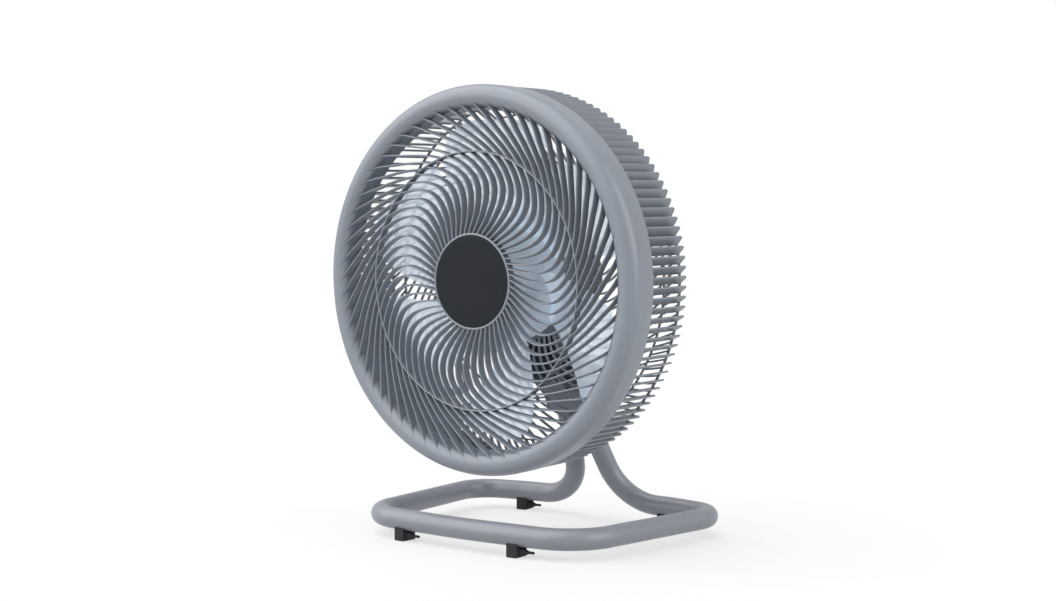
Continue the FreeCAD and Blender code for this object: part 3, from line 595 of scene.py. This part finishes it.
def blade(builder, turn):
    """One swept, cambered blade with round tip corners and feathered edges."""
    columns = [[(row[0], row[k]) for row in BLADE_SECTIONS] for k in range(1, 5)]
    length, tip = BLADE_TIP - BLADE_START, BLADE_TIP - TIP_START
    radii = [BLADE_START + (length - tip) * i / 16 for i in range(17)]
    radii += [TIP_START + tip * math.sin(math.pi / 2 * i / 9) for i in range(1, 9)]
    sections = []
    across = 22
    for radius in radii:
        swing, spread, front, back = (eased(column, radius) for column in columns)
        t = max(0.0, (radius - TIP_START) / tip)
        spread *= (1 - t**TIP_ROUNDNESS) ** (1 / TIP_ROUNDNESS)
        swell = BLADE_SWELL * (1 - 0.45 * (radius - BLADE_START) / length)
        upper, lower = [], []
        for j in range(across + 1):
            s = -math.cos(math.pi * j / across)
            rise = (front + back) / 2 - s * (back - front) / 2 + CAMBER * (1 - s * s)
            thick = BLADE_EDGE + swell * math.sqrt(max(0.0, 1 - s * s))
            angle = turn + swing + s * spread
            upper.append(polar(radius, angle, rise - thick))
            lower.append(polar(radius, angle, rise + thick))
        sections.append(upper + lower[::-1])
    builder.loft(sections)


def rotor():
    """Milky hub cup with its boss inside, and the blades."""
    bore = ROTOR_HUB - HUB_WALL
    face = [(0, HUB_FRONT), (30, HUB_FRONT + 0.3)]
    shoulder = arc((ROTOR_HUB - HUB_CORNER, HUB_SHOULDER), HUB_CORNER, -90, 0, 8)
    skirt = [(ROTOR_HUB + 0.2, HUB_BACK - 0.4), (ROTOR_HUB - 0.4, HUB_BACK), (bore, HUB_BACK)]
    inside = [(bore, HUB_WEB + 5), (ROTOR_HUB - 8, HUB_WEB)]
    boss = [(BOSS, HUB_WEB), (BOSS, BOSS_BACK), (0, BOSS_BACK)]
    made = Builder()
    made.cap_turn(face + shoulder + skirt + inside + boss, 144)
    made.piece("rotor_hub", HEAD, "spinner", "blade_clear", ["fan_rotor"], 40)
    wings = Builder()
    for i in range(BLADES):
        blade(wings, BLADE_PHASE + 360 * i / BLADES)
    wings.piece("rotor_blades", HEAD, "spinner", "blade_clear", (), 50)


# ---------------------------------------------------------------- stand

# Right half of the tube's centre line and the bend radius at each inner corner.
TUBE_ROUTE = (
    (Vector((13.5, 154.3, -102.0)), None),
    (Vector((14.4, 182.6, -170.3)), 200),
    (Vector((30.6, 219.8, -BASE_DROP)), 53),
    (Vector((101.0, 215.7, -BASE_DROP)), 200),
    (Vector((167.0, 201.4, -BASE_DROP)), 36),
    (Vector((139.1, -18.1, -BASE_DROP)), 53),
)
FRONT_BOW = (Vector((0, -26.4, -BASE_DROP)), 600)


def tube_line():
    """Points along the stand's centre line: straight runs and tangent arcs."""
    left = [(Vector((-p.x, p.y, p.z)), r) for p, r in reversed(TUBE_ROUTE)]
    corners = list(TUBE_ROUTE) + [FRONT_BOW] + left
    line = [corners[0][0]]
    for i in range(1, len(corners) - 1):
        corner, radius = corners[i]
        back = (corners[i - 1][0] - corner).normalized()
        ahead = (corners[i + 1][0] - corner).normalized()
        half = back.angle(ahead) / 2
        centre = corner + (back + ahead).normalized() * (radius / math.sin(half))
        start = corner + back * (radius / math.tan(half)) - centre
        end = corner + ahead * (radius / math.tan(half)) - centre
        steps = max(4, int(start.angle(end) * radius / 3.5))
        run = centre + start - line[-1]
        pieces = max(1, int(run.length / 12))
        line += [line[-1] + run * (k / pieces) for k in range(1, pieces)]
        line += [centre + start.slerp(end, k / steps) * radius for k in range(steps + 1)]
    run = corners[-1][0] - line[-1]
    line += [line[-1] + run * (k / 5) for k in range(1, 6)]
    return line


def stand_tube():
    """The bent tube as a smooth skin."""
    line = tube_line()
    sections = []
    side = Vector((1, 0, 0))
    for i, point in enumerate(line):
        ahead = line[min(i + 1, len(line) - 1)] - line[max(i - 1, 0)]
        ahead.normalize()
        side = (side - ahead * side.dot(ahead)).normalized()
        up = ahead.cross(side)
        section = []
        for k in range(40):
            a = 2 * math.pi * k / 40
            section.append(point + (side * math.cos(a) + up * math.sin(a)) * TUBE)
        sections.append(section)
    made = Builder()
    made.loft(sections)
    made.piece("stand_tube_skin", STAND, "stand", "tube_paint", ["stand_tube"], 60)


FOOT_WIDTH = 18.0
# A foot's body: distance along the tube and height of its underside.
FOOT_BODY = ((-8, SOLE + 1), (-7.2, SOLE), (4.2, SOLE), (5, SOLE + 1))
# A foot's tail: distance along the tube and radius.
FOOT_TAIL = ((4.0, 5.5), (6.0, 4.8), (10.0, 2.9), (13.5, 1.5), (16.0, 1.4), (19.4, 1.4), (20.0, 0.9))
TAIL_HEIGHT = -15.8
# A foot's saddle under the tube: height at its sides, half width and height in its middle.
SADDLE_SIDE = -7.5
SADDLE_HALF, SADDLE = 5.8, -8.6
# Where each foot stands, and how far it is turned.
FEET = {
    "front_left_foot": (-80.0, -21.6, -3.4),
    "front_right_foot": (69.0, -22.3, 3.4),
    "rear_left_foot": (-103.0, 214.7, 8.0),
    "rear_right_foot": (92.0, 215.8, -5.0),
}


def rubber_foot(cad_node, x, y, turn):
    """A foot whose top fills up to the tube and whose round tail tapers to a nub."""
    place = Matrix.Translation(Vector((x, y, -BASE_DROP))) @ Matrix.Rotation(math.radians(turn), 4, "Z")
    half = FOOT_WIDTH / 2
    body = []
    for along, sole in FOOT_BODY:
        outline = ((-half, SADDLE_SIDE), (-half, sole), (half, sole), (half, SADDLE_SIDE),
                   (SADDLE_HALF, SADDLE), (-SADDLE_HALF, SADDLE))
        body.append([place @ Vector((along, across, height)) for across, height in outline])
    tail = []
    for along, radius in FOOT_TAIL:
        circle = arc((0, TAIL_HEIGHT), radius, 0, 345, 23)
        tail.append([place @ Vector((along, across, height)) for across, height in circle])
    made = Builder()
    made.loft(body)
    made.loft(tail)
    piece = made.piece(cad_node + "_rubber", STAND, "stand", "foot_rubber", [cad_node], 35)
    soften(piece, 0.7, 3)


# CAD parts whose moulded edges are broken, and by how much.
SOFT_CAD = {
    "stand_bracket": 1.6,
    "motor_cover": 0.5,
    "tilt_knob": 0.9,
    "speed_knob": 0.4,
    "tilt_bolt": 0.4,
}

# ---------------------------------------------------------------- studio

FLOOR_HALF = 9000.0
FLOOR_TONE = (0.20, 0.20, 0.201)
FLOOR_GLOW = 0.6
BACKDROP = 1.0
SURROUND = 0.8
# Soft lamps: strength, spread in degrees and the direction of the lamp from the fan.
LAMPS = {
    "key_panel": (3.6, 90.0, Vector((-0.44, -0.50, 0.74))),
    "side_panel": (1.5, 50.0, Vector((0.90, 0.10, 0.42))),
}


def floor():
    """Plain floor with a faint glow of its own, so that it stays as pale as the backdrop."""
    grid = Builder()
    cells, half = 40, FLOOR_HALF
    for i in range(cells + 1):
        for j in range(cells + 1):
            grid.points.append(Vector((half * (2 * i / cells - 1), half * (2 * j / cells - 1), 0)))
    for i in range(cells):
        for j in range(cells):
            a = i * (cells + 1) + j
            grid.faces.append((a, a + cells + 1, a + cells + 2, a + 1))
    mesh = bpy.data.meshes.new("floor")
    mesh.from_pydata([p * MM for p in grid.points], [], grid.faces)
    made = bpy.data.objects.new("floor", mesh)
    bpy.context.scene.collection.objects.link(made)
    surface, tree, shader = new_material("pale_floor")
    shader.inputs["Base Color"].default_value = (*FLOOR_TONE, 1)
    shader.inputs["Emission Color"].default_value = (1, 1, 1, 1)
    shader.inputs["Emission Strength"].default_value = FLOOR_GLOW
    tree.links.new(ramp(tree, noise(tree, 30.0), 0.75, 0.85), shader.inputs["Roughness"])
    made.data.materials.append(surface)


def sky_panel(name, strength, spread, towards):
    """A very large, distant soft lamp: even over the whole floor."""
    lamp = bpy.data.lights.new(name, "SUN")
    lamp.energy = strength
    lamp.angle = math.radians(spread)
    made = bpy.data.objects.new(name, lamp)
    bpy.context.scene.collection.objects.link(made)
    made.location = head_centre + towards * 3
    made.rotation_mode = "QUATERNION"
    made.rotation_quaternion = (-towards).to_track_quat("-Z", "Y")


def studio():
    """White surround, dimmer as a light than as a backdrop, and the soft lamps."""
    bpy.context.scene.view_settings.view_transform = "Standard"
    world = bpy.data.worlds.new("studio")
    bpy.context.scene.world = world
    world.use_nodes = True
    tree = world.node_tree
    back = tree.nodes["Background"]
    back.inputs["Color"].default_value = (1, 1, 1, 1)
    path = node(tree, "ShaderNodeLightPath")
    strength = ramp(tree, path.outputs["Is Camera Ray"], SURROUND, BACKDROP, 0.0, 1.0)
    tree.links.new(strength, back.inputs["Strength"])
    for name, lamp in LAMPS.items():
        sky_panel(name, *lamp)


# The photographer's place, from the middle of the head in metres, and where they look.
CAMERA_FROM_HEAD = Vector((1.0669, -1.3037, 0.0425))
CAMERA_LOOK = Vector((-0.60904, 0.79228, -0.03700))
CAMERA_LENS = 56.18
SENSOR = 36.0


def camera():
    """Camera standing where the photo was taken."""
    data = bpy.data.cameras.new("camera")
    data.lens = CAMERA_LENS
    data.sensor_width = SENSOR
    made = bpy.data.objects.new("camera", data)
    bpy.context.scene.collection.objects.link(made)
    made.location = head_centre + CAMERA_FROM_HEAD
    made.rotation_mode = "QUATERNION"
    made.rotation_quaternion = CAMERA_LOOK.to_track_quat("-Z", "Y")
    bpy.context.scene.camera = made


# ---------------------------------------------------------------- put together

bezel()
front_ribs()
front_rings()
hub_badge()
rear_grille()
rotor()
stand_tube()
for foot_name, foot_place in FEET.items():
    rubber_foot(foot_name, *foot_place)
for cad_name, edge_width in SOFT_CAD.items():
    soften(frame["nodes"][cad_name], edge_width, 2)
floor()
studio()
camera()
